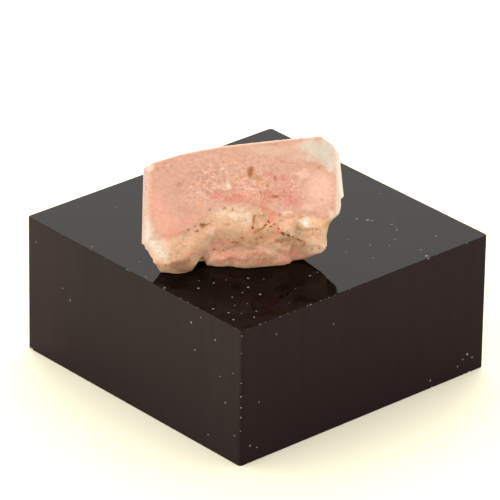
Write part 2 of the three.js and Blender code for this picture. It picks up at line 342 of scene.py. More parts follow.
def stone_point(shader):
    """The shaded point in the stone's frame, in millimetres, with y running away from the viewer."""
    coordinates = shader.node("ShaderNodeTexCoord", output="Object")
    inputs = {
        "Vector": coordinates,
        "Location": (0, 0, -(BLOCK_TOP_MM + REST_GAP_MM)),
        "Rotation": (0, 0, -STONE_TURN),
        "Scale": (1 / MM, 1 / MM, 1 / MM),
    }
    return shader.node("ShaderNodeMapping", {"vector_type": "POINT"}, inputs)


# ---- Fluorite ----

# The front is mapped from a little above, in millimetres: across is x, up is square to that line of sight, and
# near is how far towards the viewer. An ellipse on it is across, up, half length, half width and degrees.
FRONT_TILT = math.radians(26.5)
FRONT_NEAR_MM = (5.8, 6.8)  # nearer than these, a point belongs to the front

FLUORITE_IOR = 1.434
BROKEN_DEPTH_MM = (0.05, 0.35)  # deeper under the big face than these, the ground is broken
# Painted shade: the big face's left edge is darkened and cooled.
LEFT_SHADE_MM = (-10.75, -11.3)  # further left than these is the big face's cooler edge
LEFT_SHADE_STRENGTH = 0.8
# The right bevel is painted paler: painted light shining through the thin edge.
RIGHT_BEVEL_MM = (7.6, 7.95)  # further right than these is the paler bevel
RIGHT_BEVEL_STRENGTH = 0.85

# Fields of colour, painted in this order over the rose of the big face and the straw of the broken ground:
# their colour, softness, strength and ellipses.
FIELDS = [
    ("salmon", 0.9, 0.9, [(-9.15, 0.25, 1.9, 2.1, 0), (-9.85, 1.8, 1.2, 2.5, 0), (-5.4, 1.8, 0.8, 0.8, 0)]),
    ("rosy", 0.8, 0.8, [(-8.05, -0.75, 1.2, 0.7, 10), (-7.05, 0.25, 1, 0.6, -20)]),
    ("mauve", 0.9, 0.8, [
        (-5.35, 4.6, 3, 1.3, 8), (-7.7, 3.65, 1.1, 0.8, 20), (-4.3, 2.6, 0.9, 0.6, 0),
        (-7.1, 1.35, 1.3, 0.8, 0),
    ]),
    ("dusk", 0.9, 0.7, [(-6.55, 4.75, 0.6, 0.25, 40), (-7.6, 3.85, 0.6, 0.5, 0), (-4.9, 3.1, 0.6, 0.5, 0)]),
    ("apricot", 0.8, 0.7, [
        (-5.95, 3.75, 0.6, 0.4, 0), (-5.7, 2.2, 0.5, 0.6, 60), (-6.05, 0.5, 1, 0.5, -15),
        (-1.45, 4.45, 0.9, 0.8, 0), (0.4, 3.95, 0.9, 0.6, 0), (-2.5, 6.4, 1.4, 0.6, 0),
    ]),
    ("peach", 0.9, 0.8, [(1.15, 7.45, 4.2, 0.9, 3), (4.15, 6.7, 2, 0.8, 0)]),
    ("pale", 0.8, 0.95, [(6.3, 3.55, 2, 2.7, 0), (4.4, 5.2, 1.0, 0.6, 0), (5, 1.95, 1.2, 0.7, 0)]),
    ("deep_rose", 0.9, 0.85, [(-2.3, 2.65, 2.9, 0.85, -2), (-4.15, 2.8, 1, 0.7, 0)]),
    ("deep_rose", 0.9, 0.8, [
        (2.8, 3.2, 2, 1.3, 0), (2.6, 4.6, 1.1, 0.6, 0), (1.3, 4.9, 1.4, 0.45, -10), (1.05, 2.9, 1.2, 0.9, 0),
        (3.4, 2.4, 1.4, 0.7, 0),
    ]),
    ("dusk", 0.9, 0.5, [(1.2, 4.7, 0.9, 0.25, 0)]),
    ("coral", 0.9, 0.7, [(-2.2, 3.85, 0.4, 0.36, 0), (0.45, 2, 0.7, 0.5, -40)]),
    ("plate", 0.6, 0.7, [(-0.85, 3.15, 1.1, 0.6, 0)]),
    ("cream", 0.6, 0.9, [(-2.8, 3.85, 0.26, 0.5, 10), (-10.7, 5.65, 0.7, 0.5, 20)]),
    ("ice", 0.6, 1.0, [(6.2, 7.35, 2.6, 1.2, -37), (6.9, 7.9, 1.6, 1.3, -20), (7.4, 6.4, 0.8, 1.4, 0)]),
    ("ice", 1.0, 0.75, [(4.8, 7.8, 1.8, 0.9, -8), (5.0, 6.8, 0.7, 0.6, 0)]),
    ("sand", 0.9, 0.8, [(-7.35, -1.8, 1.3, 0.8, 15), (-7.8, -3.8, 1.2, 0.6, 0)]),
    ("pink", 1.0, 0.75, [(-2.6, -3.1, 4.2, 1.1, 3), (3.1, -2.9, 2.4, 1.2, 8), (-3.2, -1.9, 2.6, 0.8, 14)]),
    # Ice on the left foot: painted light shining through its thin edge.
    ("ice", 1.0, 0.9, [(-10.1, -2.0, 1.8, 1.2, 0), (-10.8, -0.9, 0.9, 2.1, 0), (-9.6, -3.0, 2.0, 1.2, -35)]),
    ("honey", 1.0, 0.6, [(-8.6, -3.3, 1.0, 0.8, 0)]),
    ("rosy", 1.0, 0.5, [(-8.9, -1.4, 0.9, 0.5, 0)]),
    ("honey", 0.8, 0.9, [(-7.4, -4.2, 1.9, 0.8, 0)]),
    ("sand", 0.8, 0.7, [(-5.1, -3.85, 1.4, 0.5, 0)]),
    # Umber under the left foot: painted shade.
    ("shaded_umber", 0.9, 0.85, [(-7.2, -4.6, 1.5, 0.5, 0), (-7.6, -4.1, 1.6, 0.5, 0)]),
    ("chalk", 0.9, 0.95, [(-3.5, 1.3, 1.7, 0.85, 10), (-1.9, 1.15, 1.7, 1.05, 0), (-1.1, 0.7, 0.75, 1.2, 0)]),
    ("ice", 1.0, 0.35, [(-1.5, 0.7, 0.9, 1.0, 0)]),
    ("blush", 0.8, 0.8, [(-1.15, 1.75, 0.7, 0.6, 0), (-5.2, 1, 0.5, 0.4, 0)]),
    ("straw", 0.8, 0.9, [(-5.05, -0.8, 1.4, 0.6, 0), (-2.5, -0.65, 2, 0.6, 0)]),
    ("pink", 0.9, 0.8, [(-4.25, -2.45, 1.4, 0.6, 12), (-6.6, -2.9, 1.2, 0.5, 0), (-1, -0.9, 1.1, 0.35, 20)]),
    ("greige", 1.0, 0.8, [(-2.6, -2.3, 2.3, 0.7, 15), (-0.6, -2.3, 1.4, 0.5, 5)]),
    ("hollow", 0.9, 0.8, [(-1.9, -2.2, 1.6, 0.4, 17), (-0.7, -2.2, 1.5, 0.55, 8)]),
    ("blush", 1.0, 0.7, [(-4.3, -3.1, 1.2, 0.45, 5)]),
    ("greige", 1.0, 0.95, [(-1.5, -2.75, 1.9, 0.55, 8)]),
    ("coral", 0.9, 0.5, [(-1.95, -2.8, 1.9, 0.14, 13), (-4.2, -2.0, 0.9, 0.2, 20)]),
    # Pale over the crease beside the left foot: painted light that lifts the crease's shade.
    ("pale", 1.0, 0.95, [
        (-4.35, -0.9, 0.5, 1.1, -25), (-4.95, -2.3, 0.55, 1.5, -10), (-5.3, -3.7, 0.9, 0.7, 20),
    ]),
    ("terracotta", 0.7, 0.8, [
        (-2.05, -3.45, 2.2, 0.4, 4), (-3.15, -3.75, 1.6, 0.3, 0), (0.15, -2.9, 1.2, 0.4, 0),
    ]),
    ("honey", 0.7, 0.8, [(0.1, 0.6, 0.6, 1, 10), (0.2, -1.1, 0.7, 0.7, 0)]),
    ("coral", 1.0, 0.35, [(1.4, -1.2, 0.9, 0.6, 0)]),
    ("hollow", 1.0, 0.6, [(-0.15, 0.2, 0.45, 0.8, 0)]),
    ("coral", 1.0, 0.5, [(0.8, 1.7, 0.6, 0.4, -40)]),
    ("coral", 1.0, 0.75, [(1.45, 0.7, 0.6, 1.1, -15), (1.9, -0.6, 0.9, 1.0, -10)]),
    ("blush", 0.9, 0.75, [(2.95, 0.5, 1.3, 1.1, 0), (2.75, -0.15, 1.1, 0.7, 0)]),
    # Glint over the knob's shadow: painted light.
    ("glint", 1.0, 0.7, [(3.4, -0.6, 1.2, 0.7, -10)]),
    ("cream", 0.7, 0.8, [(2.75, 1.25, 1, 0.25, 0), (0.25, 1.1, 0.3, 0.24, 0)]),
    ("honey", 0.7, 0.8, [(3.6, -1.95, 1.2, 0.9, -15), (4.5, -1.75, 0.4, 0.6, 0)]),
    ("greige", 0.8, 0.6, [(2.3, -2.5, 1.1, 0.6, 10), (1.1, -2.2, 0.6, 0.6, 0)]),
    ("coral", 0.9, 0.6, [(2.75, -3.65, 1, 0.3, 5), (0.55, -3.8, 2.4, 0.3, 2), (3.6, -2.85, 0.5, 0.5, 0)]),
    # Bright peach and glint on the right lobe: partly its own colour, partly painted light over its
    # downward-facing shade.
    ("glow_peach", 0.9, 0.95, [(5.75, 0, 1.5, 1.3, 0), (5.95, -1.7, 1.5, 1.2, 0), (5.05, -0.65, 0.9, 0.7, 0)]),
    ("glint", 1.0, 0.85, [(5.9, -2.2, 1.7, 0.9, 10)]),
    ("coral", 1.0, 0.5, [(5.2, -3.0, 1.8, 0.35, 14)]),
    ("ice", 0.9, 0.95, [(4.65, 0.35, 0.75, 0.65, 0)]),
    ("cream", 0.8, 0.85, [(6.95, -1.4, 0.5, 1.4, 0), (7.5, 1, 0.5, 1, 20)]),
]

# Where the big face is frosted, and where its corner is clear.
FROST = [(-4.5, 4.4, 5.2, 3.4, 8), (-0.5, 4.4, 4.2, 3.4, 0), (3.0, 3.6, 3.2, 2.6, 0)]
CLEAR = [(6.35, 7.25, 2.7, 1.35, -37), (6.9, 8.1, 1.6, 1.1, -20)]
CLEARNESS = 0.14  # the share of light that the clear corner lets in

# Small marks, sharper than the fields.
MARKS = {
    "dark": [
        (-3.24, 1.62, 0.12, 0.11, 0), (-0.46, -0.26, 0.16, 0.16, 0), (0.78, -0.1, 0.25, 0.09, 27),
        (1.16, 0.3, 0.18, 0.09, -40), (1.3, -0.12, 0.12, 0.08, 0), (2.54, -0.82, 0.18, 0.09, -25),
        (3.12, -1, 0.23, 0.1, -38), (-5.32, -0.12, 0.34, 0.13, 0), (-5.6, -0.04, 0.1, 0.1, 0),
        (-4.75, 0.08, 0.1, 0.08, 20), (-5, -0.08, 0.16, 0.1, 20), (-6.8, -0.62, 0.09, 0.12, 0),
        (-5.96, -0.74, 0.19, 0.1, 10), (4.22, -1.44, 0.3, 0.08, -15), (-0.2, 0.86, 0.07, 0.07, 0),
        (2.1, -0.35, 0.08, 0.06, 0), (1.66, 0.06, 0.09, 0.07, 0),
    ],
    "brown": [
        (-0.78, 5.1, 0.22, 0.3, 0), (-0.7, 5.5, 0.2, 0.26, 0), (1.78, 2.86, 0.3, 0.16, 10),
        (1.72, 4.72, 0.08, 0.2, 0), (0.96, 3.92, 0.12, 0.1, 0), (0.26, 3.28, 0.1, 0.09, 0),
        (-0.38, 0.42, 0.08, 0.5, -6), (0.34, -0.46, 0.36, 0.07, 27), (1.56, -0.74, 0.09, 0.08, 0),
        (-0.08, -1.4, 0.11, 0.1, 0), (-0.04, -1.84, 0.12, 0.14, 0), (0.44, -1.2, 0.14, 0.08, 30),
        (2, -1.56, 0.14, 0.08, -10), (2.4, -1.68, 0.12, 0.07, -20), (3.58, -1.16, 0.14, 0.08, -30),
        (4.66, -1.84, 0.09, 0.16, 0), (-2.44, 1.48, 0.09, 0.08, 0), (-4.72, 1.48, 0.09, 0.08, 0),
        (-6.1, -0.22, 0.09, 0.09, 0), (-5.4, -0.34, 0.16, 0.12, 0), (-6.78, -3.36, 0.11, 0.08, 0),
        (-6.66, -3.62, 0.1, 0.12, 0), (-5.4, -3.38, 0.16, 0.1, 0), (-9, -4.18, 0.13, 0.08, 15),
        (-4.22, -2.5, 0.13, 0.07, 10), (-3.32, -2.6, 0.09, 0.08, 0), (-2.04, -1.76, 0.15, 0.1, 0),
        (-2.4, -1.74, 0.12, 0.08, 0), (-1.5, -1.3, 0.12, 0.08, 0), (4.32, 0.82, 0.13, 0.06, 10),
        (2.2, 1.06, 0.08, 0.08, 0), (0.86, -3.3, 0.1, 0.09, 0), (6.08, 5.78, 0.09, 0.09, 0),
        (4.56, 0.86, 0.08, 0.05, 0), (6.22, -2.2, 0.09, 0.06, 20), (5.52, -2.24, 0.07, 0.07, 0),
        (1.04, -0.5, 0.08, 0.08, 0), (-2.9, 0.04, 0.1, 0.09, 0),
    ],
    "ochre": [
        (-0.7, 5.2, 0.5, 0.65, 0), (0.02, 4.62, 0.6, 0.26, -25), (1.7, 8.02, 0.26, 0.13, 0),
        (1.22, 8.06, 0.1, 0.1, 0), (2.36, 6.32, 0.26, 0.13, -10), (3.32, 6.18, 0.55, 0.04, -3),
        (4.8, 6.36, 0.55, 0.05, -14), (5.8, 6, 0.4, 0.04, -38), (1.56, 1.2, 0.3, 0.08, 30),
        (-4.5, 0.38, 0.26, 0.18, 15), (-0.1, -0.62, 0.5, 0.2, 30), (-5.36, -3.52, 0.4, 0.24, 0),
        (5.94, -0.32, 0.26, 0.14, 10), (6.04, -1.24, 0.2, 0.09, 10), (6.4, 2.62, 0.16, 0.11, 0),
        (6.56, 2.08, 0.14, 0.1, 0), (5.72, 1.26, 0.12, 0.1, 40), (6.62, 0.68, 0.1, 0.1, 0),
        (-7.34, -1.52, 0.14, 0.1, 20), (-7.2, -2.26, 0.3, 0.1, 15), (-8.32, -2.64, 0.12, 0.1, 0),
        (-2.98, -0.06, 0.3, 0.14, 0), (-7.04, -0.92, 0.26, 0.1, 0), (-7.92, -2.12, 0.15, 0.1, 0),
        (1.78, 5.64, 0.26, 0.06, 30), (1.96, 5.48, 0.06, 0.16, 0), (-0.04, -1.8, 0.3, 0.3, 0),
        (-3.14, 2.72, 0.12, 0.12, 0), (-1.78, 4.84, 0.16, 0.12, 0), (0.6, -1.3, 0.6, 0.14, 25),
        (-0.68, -1.62, 0.4, 0.12, 15), (-9.3, -3.54, 0.24, 0.06, -40),
    ],
    "scratch": [
        (-9.48, 5.56, 0.42, 0.09, 0), (-9, 5.2, 0.26, 0.1, -42), (-9.98, 5.36, 0.24, 0.14, -30),
        (-9.24, 6, 0.35, 0.09, 10), (-7.88, 3.88, 0.26, 0.07, 62), (-7.46, 4.18, 0.28, 0.08, 8),
        (-7.18, 4.56, 0.14, 0.12, 0), (-8.64, 5.72, 0.2, 0.12, -30), (-6.42, 3.96, 0.2, 0.1, 30),
    ],
    # Glint marks are painted highlights: glints in the frost and on the flake's edges.
    "glint": [
        (-6, 3.1, 0.24, 0.07, -5), (-5.42, 3.06, 0.22, 0.1, -30), (-4.88, 3.38, 0.38, 0.06, -32),
        (-6.56, 3.54, 0.15, 0.07, -30), (-3.58, 5.52, 0.26, 0.16, 0), (-5.2, 5.1, 0.18, 0.12, 40),
        (-4.46, 4.7, 0.14, 0.1, 40), (-4.78, 5.88, 0.14, 0.09, 0), (-9.04, 5.84, 0.22, 0.09, 0),
        (-0.72, 3.58, 0.86, 0.06, 0), (0.16, 2.92, 0.06, 0.62, 0), (0.02, 2.02, 0.06, 0.34, -25),
        (-5.92, 2.68, 0.14, 0.09, 30), (-5.16, 2.24, 0.12, 0.18, 0), (-7.7, 6.44, 0.26, 0.08, -15),
        (-3.16, 5.1, 0.16, 0.1, 0), (-1.8, 5.72, 0.14, 0.1, 0), (-4.24, 4.1, 0.14, 0.09, 20),
    ],
}

# How strong each kind of mark is, and how far its ellipses reach past the sizes above, in the order of painting.
MARK_LOOKS = {
    "ochre": (0.6, 1.45), "scratch": (0.6, 1.2), "glint": (0.75, 1.1), "brown": (0.9, 1.55), "dark": (1.0, 1.6)
}
MARK_SOFTNESS = 0.8
STAINED_MARKS = ("brown", "dark")  # dirt that has stained the stone round it
STAIN_STRENGTH = 0.45
STAIN_MARGIN_MM = 0.12
STAIN_GROWTH = 1.8


def add_fields(shader, base, wandering, front, settings):
    """The base colour with the fields painted on it."""
    for name, soft, strength, ellipses in FIELDS:
        mask = shader.spots(wandering, ellipses, soft) * front * strength
        base = shader.mix(mask, base, getattr(settings, name))
    return base


def add_edges(shader, base, point, settings):
    """The base colour with the big face's cooler left edge, a painted shade, and its paler right bevel, painted
    light shining through the thin edge.
    """
    x = shader.parts(point)[0]
    left_shade = shader.smooth(x, *LEFT_SHADE_MM)
    right_bevel = shader.smooth(x, *RIGHT_BEVEL_MM)
    # The left edge is darkened and cooled: a painted shade.
    base = shader.mix(left_shade * LEFT_SHADE_STRENGTH, base, settings.shaded_lilac)
    return shader.mix(right_bevel * RIGHT_BEVEL_STRENGTH, base, settings.ice)


def add_frost(shader, base, point, mottle, wandering, front, settings):
    """The base colour mottled, most of all in the frost, with fine light curls and a sugary grain; the light
    curls and the light specks of the grain are painted glints.
    """
    frost = shader.spots(wandering, FROST, 0.9) * front
    shade = shader.mix(shader.smooth(mottle, 0.38, 0.62), (0.84, 0.80, 0.80), (1.14, 1.16, 1.16))
    shade = shader.mix(frost * 0.65 + 0.35, WHITE, shade)
    base = shader.multiply(base, shade)
    curl = shader.noise(point, scale=2.2, roughness=0.6) - 0.5
    curl = shader.smooth(curl.math("ABSOLUTE", curl), 0.035, 0.0)
    # Painted glints along the light curls.
    base = shader.mix(curl * shader.smooth(mottle, 0.45, 0.6) * frost * 0.55, base, settings.glint)
    sugar = shader.noise(point, scale=6.5, roughness=0.7)
    # Painted glints in the sugary grain.
    base = shader.mix(shader.smooth(sugar, 0.55, 0.66) * (frost * 0.5 + 0.15), base, settings.glint)
    return shader.mix(shader.smooth(sugar, 0.45, 0.34) * (frost * 0.3 + 0.15), base, settings.dusk)


def add_marks(shader, base, crumbled, front, settings):
    """The base colour with the placed marks, the dirt on stains of its own, and the glint marks, which are
    painted highlights.
    """
    for name in STAINED_MARKS:
        stains = [
            (across, up, STAIN_MARGIN_MM + STAIN_GROWTH * length, STAIN_MARGIN_MM + STAIN_GROWTH * width, degrees)
            for across, up, length, width, degrees in MARKS[name]
        ]
        mask = shader.spots(crumbled, stains, 1.0) * front * STAIN_STRENGTH
        base = shader.mix(mask, base, settings.ochre)
    for name, (strength, growth) in MARK_LOOKS.items():
        ellipses = [
            (across, up, growth * length, growth * width, degrees)
            for across, up, length, width, degrees in MARKS[name]
        ]
        mask = shader.spots(crumbled, ellipses, MARK_SOFTNESS) * front * strength
        base = shader.mix(mask, base, getattr(settings, name))
    return base


def add_dirt(shader, base, point, broken, settings):
    """The base colour with stains and specks scattered over parts of the broken ground."""
    where = shader.smooth(shader.noise(point, scale=0.7), 0.4, 0.6) * broken
    stain = shader.noise(point, scale=2.4, detail=3.0, roughness=0.6)
    base = shader.mix(shader.smooth(stain, 0.52, 0.68) * where * 0.5, base, settings.ochre)
    speck = shader.noise(point, scale=5.0, roughness=0.6)
    return shader.mix(shader.smooth(speck, 0.6, 0.67) * where * 0.75, base, settings.brown)


def stone_material(settings):
    """Frosted fluorite: light spreads under its skin, and its icy corner is partly clear."""
    material = new_material("frosted_fluorite")
    shader = Shader(material)
    point = stone_point(shader)

    # Broken ground is where the point lies deeper under the plane of the big face than the frost.
    depth = BIG_FACE_DISTANCE_MM - shader.vector("DOT_PRODUCT", point, BIG_FACE, output="Value")
    broken = shader.smooth(depth, *BROKEN_DEPTH_MM)
    base = shader.mix(broken, settings.rose, settings.straw)

    # Borders between colours wander, and are crumbled by a finer noise.
    inputs = {"Vector": point, "Rotation": (FRONT_TILT - math.pi / 2, 0, 0)}
    front_point = shader.node("ShaderNodeMapping", {}, inputs)
    front = shader.smooth(shader.parts(front_point)[2], *FRONT_NEAR_MM)
    crumbled = shader.shaken(front_point, scale=4.5, reach=0.45)
    wandering = shader.shaken(crumbled, scale=0.9, reach=1.3)
    base = add_fields(shader, base, wandering, front, settings)
    base = add_edges(shader, base, point, settings)
    mottle = shader.noise(point, scale=2.6, detail=4.0, roughness=0.75)
    base = add_frost(shader, base, point, mottle, wandering, front, settings)
    base = add_marks(shader, base, crumbled, front, settings)
    base = add_dirt(shader, base, point, broken, settings)
    # The broken ground's colours are multiplied by more than the big face's: painted light that lifts the
    # ground's shade.
    tone = shader.mix(broken, (settings.tone,) * 3, tuple(settings.ground_tone))
    base = shader.multiply(base, tone)

    grain = shader.noise(point, scale=9.0, detail=3.0, roughness=0.6)
    lumps = shader.noise(point, scale=2.4, detail=4.0, roughness=0.7)
    height = grain + mottle * 0.6 + lumps * broken * 2.0
    bump = shader.node("ShaderNodeBump", {}, {"Strength": 0.35, "Distance": 0.05 * MM, "Height": height})
    frosted = shader.node(
        "ShaderNodeBsdfPrincipled", {"subsurface_method": "RANDOM_WALK"},
        {
            "Base Color": base, "Roughness": 0.5, "IOR": FLUORITE_IOR, "Normal": bump,
            "Subsurface Weight": 1.0, "Subsurface Radius": (1.0, 0.55, 0.4),
            "Subsurface Scale": settings.glow,
        },
    )
    ice = shader.node(
        "ShaderNodeBsdfPrincipled", {},
        {
            "Base Color": (1.0, 0.97, 0.93, 1.0), "Roughness": 0.45, "IOR": FLUORITE_IOR, "Normal": bump,
            "Transmission Weight": 1.0,
        },
    )
    clear = shader.spots(wandering, CLEAR, 0.8) * CLEARNESS
    surface = shader.node("ShaderNodeMixShader", {}, {0: clear, 1: frosted, 2: ice})
    shader.node("ShaderNodeOutputMaterial", {}, {"Surface": surface})
    return material


# ---- Fluorite: shape ----

CUTTER_MM = 50.0  # more than the whole stone
CRYSTAL_FACE_MM2 = 1.5  # planes that hold at least this much of the stone's skin are crystal faces
SAME_DIRECTION = 0.9998  # cosine of the angle within which two triangles face the same way
SAME_PLANE_MM = 0.01

# Planes that the stone's underside is cut back to at its two ends: a place on each, and the way that it faces.
UNDERCUTS = [
    (place(6.1, 8.1, 0.8), place(0.82, -0.55, -1.0)),
    (place(-9.6, 11.2, 0.0), place(-1.4, -0.5, -1.0)),
]

# A vertex of the fine skin is on a crystal face if it is nearer to the face's plane than these, and turned to
# it by more than these cosines.
FACE_NEAR_MM = (0.06, 0.16)
FACE_TURNED = (0.35, 0.5)

REST_BAND_MM = (0.1, 0.8)  # above the rest flats, between these heights, the relief of the broken ground begins
SOFTENING = {"factor": 0.6, "iterations": 32}
WEIGHT_LEVELS = 10

# The relief of the broken ground: its name, pattern, size and depth in millimetres, and further settings.
RELIEF = [
    ("knobs", "CLOUDS", 1.1, 0.12, {"noise_depth": 1}),
    ("chips", "VORONOI", 0.55, 0.06, {}),
    ("hackle", "CLOUDS", 0.28, 0.12, {"noise_depth": 2}),
]


def select_only(*objects):
    """Selects these objects, with the first one active."""
    bpy.ops.object.select_all(action="DESELECT")
    for obj in objects:
        obj.select_set(True)
    bpy.context.view_layer.objects.active = objects[0]


def apply_modifier(obj, kind, **settings):
    """Adds a modifier and applies it."""
    modifier = obj.modifiers.new(kind.lower(), kind)
    for name, value in settings.items():
        setattr(modifier, name, value)
    select_only(obj)
    bpy.ops.object.modifier_apply(modifier=modifier.name)


def copy_of_node(node_name, name):
    """A copy of a CAD node as a new object, with its loose triangles joined."""
    obj = bpy.data.objects.new(name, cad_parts[node_name].data.copy())
    obj.data.name = name
    obj.data.materials.clear()
    bpy.context.scene.collection.objects.link(obj)
    select_only(obj)
    bpy.ops.object.mode_set(mode="EDIT")
    bpy.ops.mesh.select_all(action="SELECT")
    bpy.ops.mesh.remove_doubles(threshold=0.001 * MM)
    bpy.ops.object.mode_set(mode="OBJECT")
    return obj


def values_of(items, name, width):
    """A property of many mesh items as one array."""
    values = np.zeros(len(items) * width)
    items.foreach_get(name, values)
    return values.reshape(-1, width) if width > 1 else values


def crystal_planes(mesh):
    """The planes of a mesh's large flat faces, as rows of a normal and a distance."""
    normals = values_of(mesh.polygons, "normal", 3)
    centres = values_of(mesh.polygons, "center", 3)
    areas = values_of(mesh.polygons, "area", 1)
    distances = (normals * centres).sum(1)
    face_area = CRYSTAL_FACE_MM2 * MM * MM
    planes = []
    free = np.ones(len(areas), bool)
    for i in np.argsort(-areas):
        if areas[i] < 0.1 * face_area:
            break
        if not free[i]:
            continue
        same = (normals @ normals[i] > SAME_DIRECTION) & (abs(distances - distances[i]) < SAME_PLANE_MM * MM)
        free[same] = False
        if areas[same].sum() >= face_area:
            planes.append((*normals[i], distances[i]))
    return np.array(planes)


def undercut(stone):
    """Takes away what lies under the undercut planes."""
    turn = Matrix.Rotation(STONE_TURN, 3, "Z")
    lift = Vector((0, 0, BLOCK_TOP_MM + REST_GAP_MM))
    for through, outward in UNDERCUTS:
        outward = (turn @ outward).normalized()
        middle = turn @ through + lift + outward * (CUTTER_MM / 2)
        bpy.ops.object.select_all(action="DESELECT")
        bpy.ops.mesh.primitive_cube_add(
            size=CUTTER_MM * MM, location=middle * MM, rotation=outward.to_track_quat("Z", "Y").to_euler()
        )
        cutter = bpy.context.object
        apply_modifier(stone, "BOOLEAN", operation="DIFFERENCE", solver="MANIFOLD", object=cutter)
        bpy.data.objects.remove(cutter)


def fade(value, low, high):
    """0 below low and 1 above high, and smooth between them."""
    t = np.clip((value - low) / (high - low), 0, 1)
    return t * t * (3 - 2 * t)


def brokenness(mesh, planes):
    """How far each vertex belongs to broken ground, from 0 on a crystal face to 1."""
    near, far = (value * MM for value in FACE_NEAR_MM)
    points = values_of(mesh.vertices, "co", 3)
    normals = values_of(mesh.vertices, "normal", 3)
    broken = np.ones(len(points))
    for *normal, distance in planes:
        away = abs(points @ normal - distance)
        on_face = (1 - fade(away, near, far)) * fade(normals @ normal, *FACE_TURNED)
        broken = np.minimum(broken, 1 - on_face)
    return broken


def weight_group(obj, name, weights):
    """A vertex group with these weights, in steps."""
    group = obj.vertex_groups.new(name=name)
    levels = np.round(weights * WEIGHT_LEVELS).astype(int)
    for level in range(1, WEIGHT_LEVELS + 1):
        group.add(np.flatnonzero(levels == level).tolist(), level / WEIGHT_LEVELS, "REPLACE")


def roughen(obj, name, kind, size_mm, depth_mm, settings, group):
    """Moves the skin in and out by a procedural texture, where the vertex group allows."""
    texture = bpy.data.textures.new(name, kind)
    texture.noise_scale = size_mm * MM
    for setting, value in settings.items():
        setattr(texture, setting, value)
    apply_modifier(
        obj, "DISPLACE", texture=texture, texture_coords="LOCAL", strength=depth_mm * MM, mid_level=0.5,
        vertex_group=group,
    )


class SPECIMEN_OT_fluorite(bpy.types.Operator):
    """Shapes the fluorite from the frame's solid and gives it its frosted finish"""

    bl_idname = "specimen.fluorite"
    bl_label = "Fluorite"

    def execute(self, context):
        settings = context.scene.specimen_stone
        stone = copy_of_node("fluorite", "fluorite_crystal")
        planes = crystal_planes(stone.data)
        undercut(stone)
        apply_modifier(stone, "REMESH", mode="VOXEL", voxel_size=settings.grain, use_smooth_shade=True)
        heights = values_of(stone.data.vertices, "co", 3)[:, 2] - (BLOCK_TOP_MM + REST_GAP_MM) * MM
        low, high = (value * MM for value in REST_BAND_MM)
        ground = "broken_ground"
        weight_group(stone, ground, brokenness(stone.data, planes) * fade(heights, low, high))
        apply_modifier(stone, "SMOOTH", vertex_group=ground, **SOFTENING)
        for name, kind, size_mm, depth_mm, further in RELIEF:
            roughen(stone, name, kind, size_mm, depth_mm * settings.relief, further, ground)
        stone.data.materials.clear()  # the cuts leave an empty slot behind
        stone.data.materials.append(stone_material(settings))
        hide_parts("fluorite")
        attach(stone, "root")
        return {"FINISHED"}


# ---- Display block ----

# Dust on the block: each speck's place on its face, in millimetres, and its radius.
TOP_DUST = [
    (8.3, -8.5, 0.14), (9.8, -9.8, 0.15), (11.7, -9.9, 0.15), (10.3, -11.0, 0.10), (11.8, -3.4, 0.14),
    (11.7, -2.3, 0.09), (14.1, -15.5, 0.12), (12.7, -14.9, 0.12), (10.4, -12.4, 0.10), (14.2, -12.6, 0.09),
    (6.9, -11.8, 0.11), (11.1, -15.5, 0.12), (6.8, -13.7, 0.14), (4.6, -16.2, 0.13), (13.6, -14.0, 0.07),
    (7.2, -10.4, 0.07), (5.6, -12.6, 0.07), (13.0, -6.4, 0.07), (14.9, -8.9, 0.07), (12.4, -12.2, 0.07),
    (15.0, -13.6, 0.10), (11.9, -13.4, 0.08), (9.4, -7.4, 0.08), (5.3, 8.8, 0.14), (6.2, 9.5, 0.17),
    (6.6, 9.7, 0.12), (8.5, 10.7, 0.12), (9.8, 10.2, 0.11), (10.6, 5.8, 0.10), (13.3, 12.3, 0.11),
    (16.0, 8.5, 0.18), (9.2, 10.6, 0.08), (11.2, 8.6, 0.09), (11.9, 7.2, 0.08), (12.9, 4.1, 0.09),
    (8.2, 4.9, 0.08), (10.2, 2.9, 0.08), (14.6, 9.0, 0.09), (-7.0, -15.9, 0.10), (1.6, -16.1, 0.10),
    (-1.4, -14.4, 0.08), (-12.4, -8.2, 0.07), (-4.0, 13.5, 0.08), (2.5, 14.6, 0.07), (-13.5, 3.0, 0.08),
]
LEFT_SIDE_DUST = [
    (9.0, 13.0, 0.14), (-9.7, 8.1, 0.12), (12.6, 12.5, 0.12), (14.2, 6.2, 0.11), (9.6, 10.2, 0.11),
    (13.4, 8.8, 0.08), (10.4, 14.1, 0.08), (-10.9, 9.0, 0.09), (15.3, 9.9, 0.08), (-15.1, 12.6, 0.11),
    (15.6, 3.1, 0.09), (11.7, 1.6, 0.09),
]
RIGHT_SIDE_DUST = [
    (-12.0, 13.2, 0.09), (-4.4, 11.8, 0.08), (-14.1, 6.4, 0.09), (14.2, 2.2, 0.16), (13.6, 1.8, 0.10),
    (14.9, 1.6, 0.12), (12.9, 1.2, 0.10), (-15.2, 1.9, 0.12), (-14.3, 1.4, 0.10), (9.1, 0.9, 0.12),
]
BLOCK_DUST = [
    *((x, y, BLOCK_TOP_MM, radius) for x, y, radius in TOP_DUST),
    *((x, -BLOCK_HALF_MM, z, radius) for x, z, radius in LEFT_SIDE_DUST),
    *((BLOCK_HALF_MM, y, z, radius) for y, z, radius in RIGHT_SIDE_DUST),
]

